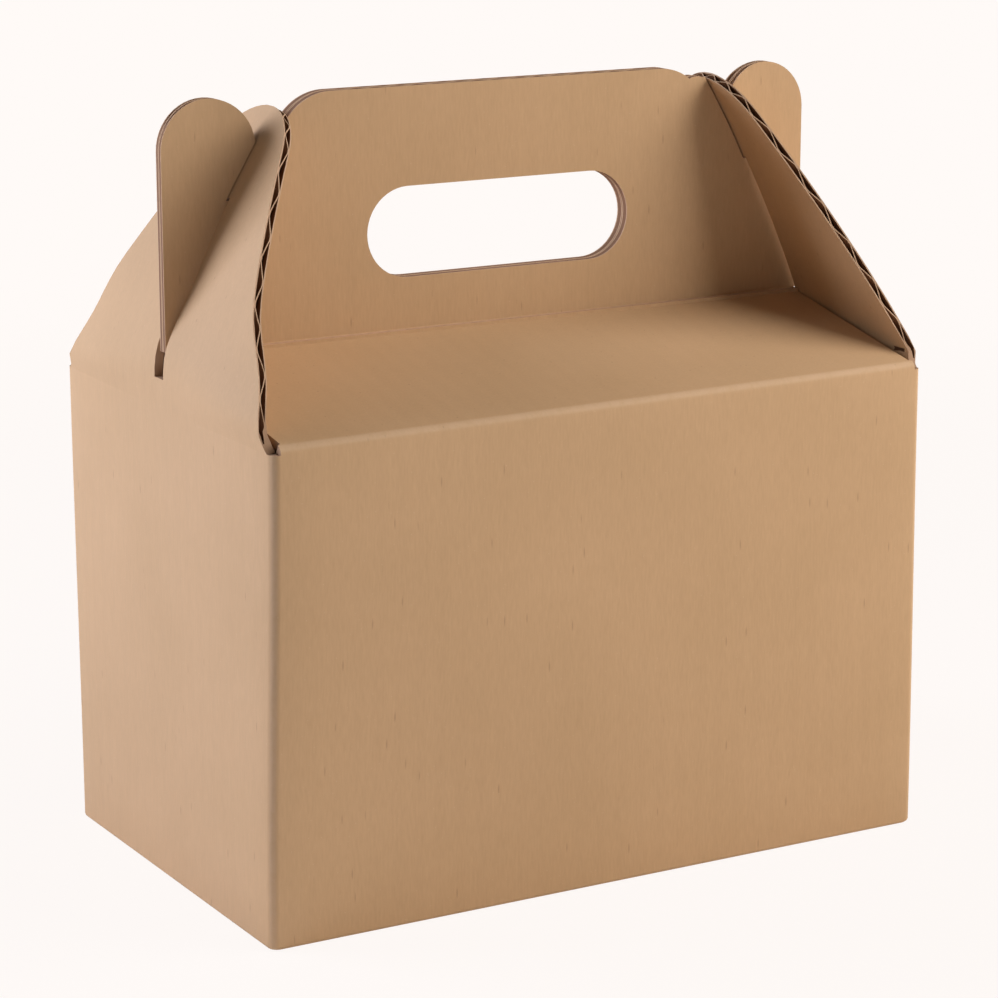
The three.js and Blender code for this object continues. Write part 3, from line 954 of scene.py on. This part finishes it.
def range_node(tree, place, value, low, high, to_low=0.0, to_high=1.0):
    """Turns a range of values into another, softly at both ends."""
    made = node(tree, "ShaderNodeMapRange", place, interpolation_type="SMOOTHSTEP", Value=value)
    made.inputs["From Min"].default_value = low
    made.inputs["From Max"].default_value = high
    made.inputs["To Min"].default_value = to_low
    made.inputs["To Max"].default_value = to_high
    return made.outputs["Result"]


def mix_colours(tree, place, share, first, second, blend="MIX"):
    """A colour mix; the numbers are those of the sockets that a mix of colours has."""
    made = node(tree, "ShaderNodeMix", place, data_type="RGBA", blend_type=blend)
    for index, value in ((0, share), (6, first), (7, second)):
        feed(tree, made.inputs[index], value)
    return made.outputs[2]


def mix_shaders(tree, place, share, first, second, output):
    """Mixes two shaders by a share and sends the mix to an output."""
    mix = node(tree, "ShaderNodeMixShader", place)
    for index, source in enumerate((share, first.outputs[0], second.outputs[0])):
        tree.links.new(source, mix.inputs[index])
    tree.links.new(mix.outputs[0], output.inputs["Surface"])


def new_group(name, inputs, outputs):
    """An empty node group with its sockets, and its entry and exit nodes."""
    group = bpy.data.node_groups.new(name, "ShaderNodeTree")
    for socket_name, kind, value in inputs:
        socket = group.interface.new_socket(socket_name, in_out="INPUT", socket_type=kind)
        if value is not None:
            socket.default_value = value
    for socket_name, kind in outputs:
        group.interface.new_socket(socket_name, in_out="OUTPUT", socket_type=kind)
    entry = node(group, "NodeGroupInput", (-1400, 0))
    leave = node(group, "NodeGroupOutput", (900, 0))
    return group, entry, leave


def fleck_share(group, height, vector, scale, size, amount):
    """Where single flecks of a size lie, and how strong they are."""
    cells = node(group, "ShaderNodeTexVoronoi", (-900, height), Vector=vector, Scale=scale, Randomness=1.0)
    mask = range_node(group, (-600, height), cells.outputs["Distance"], size, 0.02)
    return math_node(group, "MULTIPLY", (-400, height), mask, amount)


def paper_fibre_group():
    """Brown paper: cloudy pulp, fine fibres and single dark and pale flecks."""
    group, entry, leave = new_group(
        "paper_fibres",
        [
            ("Vector", "NodeSocketVector", None),
            ("Colour", "NodeSocketColor", (0.5, 0.3, 0.2, 1)),
            ("Cloud", "NodeSocketFloat", 0.06),
            ("Fleck", "NodeSocketFloat", 0.3),
        ],
        [("Colour", "NodeSocketColor"), ("Fibre", "NodeSocketFloat")],
    )
    links = group.links
    vector = entry.outputs["Vector"]
    fleck = entry.outputs["Fleck"]
    cloud = noise_node(group, (-1100, 400), vector, scale=22.0, detail=4.0, roughness=0.55)
    stretch = node(group, "ShaderNodeMapping", (-1100, 0), Vector=vector, Scale=(1.0, 1.0, 0.16))
    stretched = stretch.outputs[0]
    fibre = noise_node(group, (-900, 0), stretched, scale=1500.0, detail=3.0, roughness=0.6)
    dark_share = fleck_share(group, -300, stretched, scale=310.0, size=0.10, amount=fleck)
    pale_share = fleck_share(group, -600, vector, scale=430.0, size=0.09, amount=fleck)
    cloudy = math_node(group, "SUBTRACT", (-800, 400), cloud, 0.5)
    cloudy = math_node(group, "MULTIPLY", (-650, 400), cloudy, entry.outputs["Cloud"])
    fine = math_node(group, "SUBTRACT", (-650, 150), fibre, 0.5)
    fine = math_node(group, "MULTIPLY", (-500, 150), fine, 0.16)
    level = math_node(group, "ADD", (-350, 300), cloudy, fine)
    level = math_node(group, "ADD", (-200, 300), level, 1.0)
    level_colour = node(group, "ShaderNodeCombineColor", (-50, 300))
    warm = math_node(group, "POWER", (-120, 120), level, 1.3)
    links.new(level, level_colour.inputs[0])
    links.new(level, level_colour.inputs[1])
    links.new(warm, level_colour.inputs[2])
    paper = entry.outputs["Colour"]
    colour = mix_colours(group, (150, 200), 1.0, paper, level_colour.outputs[0], "MULTIPLY")
    colour = mix_colours(group, (350, 100), dark_share, colour, (*DARK_FLECK_COLOUR, 1))
    colour = mix_colours(group, (550, 0), pale_share, colour, (*PALE_FLECK_COLOUR, 1))
    links.new(colour, leave.inputs["Colour"])
    links.new(fibre, leave.inputs["Fibre"])
    return group


def washboard_group():
    """The flutes that show faintly through the liner, as upright ripples on every panel."""
    group, entry, leave = new_group(
        "washboard",
        [("Vector", "NodeSocketVector", None), ("Normal", "NodeSocketVector", None)],
        [("Ripple", "NodeSocketFloat")],
    )
    place = split(group, (-1100, 200), entry.outputs["Vector"])
    facing = split(group, (-1100, -100), entry.outputs["Normal"])
    sideways = math_node(group, "ABSOLUTE", (-900, -100), facing[0])
    end_wall = math_node(group, "GREATER_THAN", (-700, -100), sideways, 0.6)
    turn = 2 * math.pi / (FLUTE_PITCH * MM)
    waves = []
    for index, height in ((0, 300), (1, 100)):
        turned = math_node(group, "MULTIPLY", (-800, height), place[index], turn)
        waves.append(math_node(group, "COSINE", (-600, height), turned))
    difference = math_node(group, "SUBTRACT", (-400, 100), waves[1], waves[0])
    chosen = math_node(group, "MULTIPLY", (-200, 0), difference, end_wall)
    ripple = math_node(group, "ADD", (0, 100), waves[0], chosen)
    patches = noise_node(group, (-600, -400), entry.outputs["Vector"], scale=14.0, detail=2.0)
    strength = range_node(group, (-300, -400), patches, 0.35, 0.65, to_low=0.35)
    uneven = math_node(group, "MULTIPLY", (300, 0), ripple, strength)
    group.links.new(uneven, leave.inputs["Ripple"])
    return group


def crease_group():
    """Where the folds get a painted highlight, and where the liner is stretched pale and scuffed: along
    the four uprights and the roof's folds.
    """
    group, entry, leave = new_group(
        "creases",
        [("Vector", "NodeSocketVector", None), ("Width", "NodeSocketFloat", 0.001)],
        [("Mask", "NodeSocketFloat")],
    )
    place = split(group, (-1200, 0), entry.outputs["Vector"])
    across = math_node(group, "ABSOLUTE", (-1000, 200), place[0])
    back = math_node(group, "ABSOLUTE", (-1000, 0), place[1])
    crease_lines = (
        (across, BOX_LENGTH / 2 - CREASE_INSET),
        (back, BOX_DEPTH / 2 - CREASE_INSET),
        (place[2], WALL_HEIGHT - ROOF_CREASE_DROP),
    )
    far = []
    for row, (value, line_place) in enumerate(crease_lines):
        height = 200 - 200 * row
        offset = math_node(group, "SUBTRACT", (-800, height), value, line_place * MM)
        far.append(math_node(group, "ABSOLUTE", (-600, height), offset))
    upright = math_node(group, "MAXIMUM", (-400, 150), far[0], far[1])
    roof_fold = math_node(group, "MAXIMUM", (-400, -100), far[1], far[2])
    nearest = math_node(group, "MINIMUM", (-200, 50), upright, roof_fold)
    scaled = math_node(group, "DIVIDE", (0, 50), nearest, entry.outputs["Width"])
    line = range_node(group, (150, 50), scaled, 1.0, 0.2)
    vector = entry.outputs["Vector"]
    scuff = noise_node(group, (-200, -300), vector, scale=420.0, detail=4.0, roughness=0.7)
    broken = range_node(group, (150, -300), scuff, 0.3, 0.6, to_low=0.6)
    mask = math_node(group, "MULTIPLY", (400, 0), line, broken)
    group.links.new(mask, leave.inputs["Mask"])
    return group


def use_group(tree, group, place, **inputs):
    made = node(tree, "ShaderNodeGroup", place, node_tree=group)
    for name, value in inputs.items():
        feed(tree, made.inputs[name], value)
    return made


def start_material(name):
    """A matt material, and the place on the crisp box that its patterns follow."""
    material = bpy.data.materials.new(name)
    material.use_nodes = True
    tree = material.node_tree
    shader = tree.nodes["Principled BSDF"]
    shader.location = (1100, 0)
    tree.nodes["Material Output"].location = (1400, 0)
    shader.inputs["Specular IOR Level"].default_value = BOARD_GLOSS
    place = node(tree, "ShaderNodeAttribute", (-900, 0), attribute_name=PLACE_NAME)
    return material, tree, shader, place.outputs["Vector"]


def lay_paper(tree, fibres, place, colour, cloud, fleck):
    """Puts the paper group in a material, in one colour and with its own cloudiness and flecks."""
    paper = use_group(tree, fibres, (-500, 300), Vector=place, Cloud=cloud, Fleck=fleck)
    paper.inputs["Colour"].default_value = (*colour, 1)
    return paper


def roughen_edge(tree, shader, paper):
    """The torn fibres that every cut edge has."""
    shader.inputs["Roughness"].default_value = EDGE_ROUGHNESS
    fibre = paper.outputs["Fibre"]
    bump = node(tree, "ShaderNodeBump", (800, -300), Strength=0.6, Distance=0.0001, Height=fibre)
    tree.links.new(bump.outputs[0], shader.inputs["Normal"])


def kraft_liner(name, fibres, washboard, creases):
    """The smooth outer liner of the board, with its faint flutes, and the painted highlight and wear on
    its folds.
    """
    material, tree, shader, place = start_material(name)
    links = tree.links
    paper = lay_paper(tree, fibres, place, KRAFT_COLOUR, cloud=0.16, fleck=0.32)
    geometry = node(tree, "ShaderNodeNewGeometry", (-900, -300))
    facing = geometry.outputs["True Normal"]
    ripples = use_group(tree, washboard, (-500, 0), Vector=place, Normal=facing)
    folds = use_group(tree, creases, (-500, -300), Vector=place, Width=CREASE_WIDTH * MM)
    shade = math_node(tree, "MULTIPLY", (-250, 50), ripples.outputs["Ripple"], RIPPLE_SHADE)
    shade = math_node(tree, "ADD", (-100, 50), shade, 1.0)
    shade_colour = node(tree, "ShaderNodeCombineColor", (50, 50))
    for socket in shade_colour.inputs:
        links.new(shade, socket)
    colour = paper.outputs["Colour"]
    colour = mix_colours(tree, (250, 250), 1.0, colour, shade_colour.outputs[0], "MULTIPLY")
    # Painted highlight along the folds, together with their real pale scuffing
    crease_highlight_and_wear = math_node(tree, "MULTIPLY", (50, -200), folds.outputs["Mask"], CREASE_HIGHLIGHT_AND_WEAR_SHARE)
    colour = mix_colours(tree, (450, 200), crease_highlight_and_wear, colour, (*CREASE_HIGHLIGHT_AND_WEAR_COLOUR, 1))
    links.new(colour, shader.inputs["Base Color"])
    roughness = math_node(tree, "MULTIPLY", (450, -50), paper.outputs["Fibre"], 0.25)
    roughness = math_node(tree, "ADD", (600, -50), roughness, 0.50)
    links.new(roughness, shader.inputs["Roughness"])
    height = math_node(tree, "MULTIPLY", (250, -400), ripples.outputs["Ripple"], RIPPLE_BUMP)
    height = math_node(tree, "ADD", (400, -400), height, paper.outputs["Fibre"])
    bump = node(tree, "ShaderNodeBump", (800, -300), Strength=0.35, Distance=0.00006, Height=height)
    links.new(bump.outputs[0], shader.inputs["Normal"])
    return material


def cut_edge(name, fibres, colour):
    """Board cut across its liners: fuzzy torn fibres, darkened by painted shade from the feet of the flaps
    down.
    """
    material, tree, shader, place = start_material(name)
    paper = lay_paper(tree, fibres, place, colour, cloud=0.5, fleck=0.5)
    # Painted shade on the cut edges from the flaps' feet down, where the slits at the flaps' feet lie dark
    painted_edge_shade = range_node(
        tree,
        (-300, -100),
        split(tree, (-700, -100), place)[2],
        EDGE_SHADE_HIGH * MM,
        EDGE_SHADE_LOW * MM,
        to_high=EDGE_SHADE_SHARE,
    )
    edge = mix_colours(tree, (300, 100), painted_edge_shade, paper.outputs["Colour"], (*CORE_SHADE_COLOUR, 1))
    tree.links.new(edge, shader.inputs["Base Color"])
    roughen_edge(tree, shader, paper)
    return material


def ply_edge(name, fibres):
    """The handle's edges, cut along its flutes: painted shade in the flute channels between two pale
    liners.
    """
    material, tree, shader, place = start_material(name)
    # The edge's base colour is painted shade of the flute channels
    paper = lay_paper(tree, fibres, place, CORE_SHADE_COLOUR, cloud=0.9, fleck=0.3)
    depth = math_node(tree, "ABSOLUTE", (-500, -100), split(tree, (-700, -100), place)[1])
    core_outer = HANDLE_FACE - LINER
    core_inner = LAYER_GAP / 2 + LINER
    outer = range_node(tree, (-300, -50), depth, (core_outer - CORE_FADE) * MM, core_outer * MM)
    inner = range_node(tree, (-300, -350), depth, (core_inner + CORE_FADE) * MM, core_inner * MM)
    liners = math_node(tree, "MAXIMUM", (-100, -200), outer, inner)
    colour = mix_colours(tree, (300, 100), liners, paper.outputs["Colour"], (*EDGE_COLOUR, 1))
    tree.links.new(colour, shader.inputs["Base Color"])
    roughen_edge(tree, shader, paper)
    return material


def area_lamp(name, place, size, watts, colour):
    """A square lamp, in metres, that points at the box."""
    bpy.ops.object.light_add(type="AREA", location=place)
    lamp = bpy.context.object
    lamp.name = name
    lamp.data.shape = "SQUARE"
    lamp.data.size = size
    lamp.data.energy = watts
    lamp.data.color = colour
    beam = Vector(LAMP_TARGET) - Vector(place)
    lamp.rotation_euler = beam.to_track_quat("-Z", "Y").to_euler()


def make_light():
    """A key from behind on the left, a fill from the front on the right, and a pale backdrop."""
    area_lamp("left_key", (-0.72, 0.52, 0.47), size=0.6, watts=11.3, colour=(0.77, 0.82, 0.98))
    area_lamp("right_fill", (0.60, -0.46, 0.58), size=0.75, watts=8.7, colour=(1.0, 0.955, 0.91))
    area_lamp("front_soft", (-0.7, -0.8, 0.5), size=0.8, watts=0.6, colour=(1.0, 0.9, 0.78))
    world = bpy.data.worlds.new("studio")
    scene.world = world
    world.use_nodes = True
    tree = world.node_tree
    background = tree.nodes["Background"]
    output = tree.nodes["World Output"]
    background.inputs["Color"].default_value = (*WORLD_COLOUR, 1)
    background.inputs["Strength"].default_value = WORLD_STRENGTH
    seen = node(tree, "ShaderNodeBackground", (0, -200), Strength=1.0)
    seen.inputs["Color"].default_value = (*BACKDROP_COLOUR, 1)
    path = node(tree, "ShaderNodeLightPath", (-400, 200))
    rays = (path.outputs["Is Camera Ray"], path.outputs["Is Glossy Ray"])
    either = math_node(tree, "MAXIMUM", (-200, 200), *rays)
    mix_shaders(tree, (200, 0), either, background, seen, output)


def make_floor():
    """A pale floor that looks as light as the backdrop, but for the object's own soft shadow."""
    deselect_all()
    bpy.ops.mesh.primitive_plane_add(size=FLOOR_SIZE, location=(0, 0, -FLOOR_DROP))
    floor = bpy.context.object
    floor.name = "floor"
    material = bpy.data.materials.new("floor")
    material.use_nodes = True
    tree = material.node_tree
    shader = tree.nodes["Principled BSDF"]
    output = tree.nodes["Material Output"]
    shader.inputs["Base Color"].default_value = (*FLOOR_COLOUR, 1)
    shader.inputs["Roughness"].default_value = FLOOR_ROUGHNESS
    shader.inputs["Specular IOR Level"].default_value = FLOOR_GLOSS
    glow = node(tree, "ShaderNodeEmission", (0, -400), Color=(*BACKDROP_COLOUR, 1), Strength=1.0)
    path = node(tree, "ShaderNodeLightPath", (-200, 300))
    place = node(tree, "ShaderNodeTexCoord", (-800, 100))
    distance = node(tree, "ShaderNodeVectorMath", (-600, 100), operation="LENGTH")
    feed(tree, distance.inputs[0], place.outputs["Object"])
    glow_share = range_node(
        tree,
        (-400, 100),
        distance.outputs["Value"],
        FLOOR_GLOW_START,
        FLOOR_GLOW_FULL,
        to_low=FLOOR_GLOW,
    )
    share = math_node(tree, "MULTIPLY", (0, 300), path.outputs["Is Camera Ray"], glow_share)
    mix_shaders(tree, (300, 0), share, shader, glow, output)
    floor.data.materials.append(material)


make_camera()
make_light()
make_floor()
fibres = paper_fibre_group()
kraft = kraft_liner("kraft_liner", fibres, washboard_group(), crease_group())
raw_edge = cut_edge("cut_edge", fibres, EDGE_COLOUR)
ply_edge_finish = ply_edge("ply_edge", fibres)
# Painted shade for the inside of the flute cells cut into the flaps
painted_flute_shade = cut_edge("painted_flute_shade", fibres, FLUTE_SHADE_COLOUR)
folded_board = make_folded_board(kraft, raw_edge, ply_edge_finish, painted_flute_shade)
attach(folded_board, "root")
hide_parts("carton")
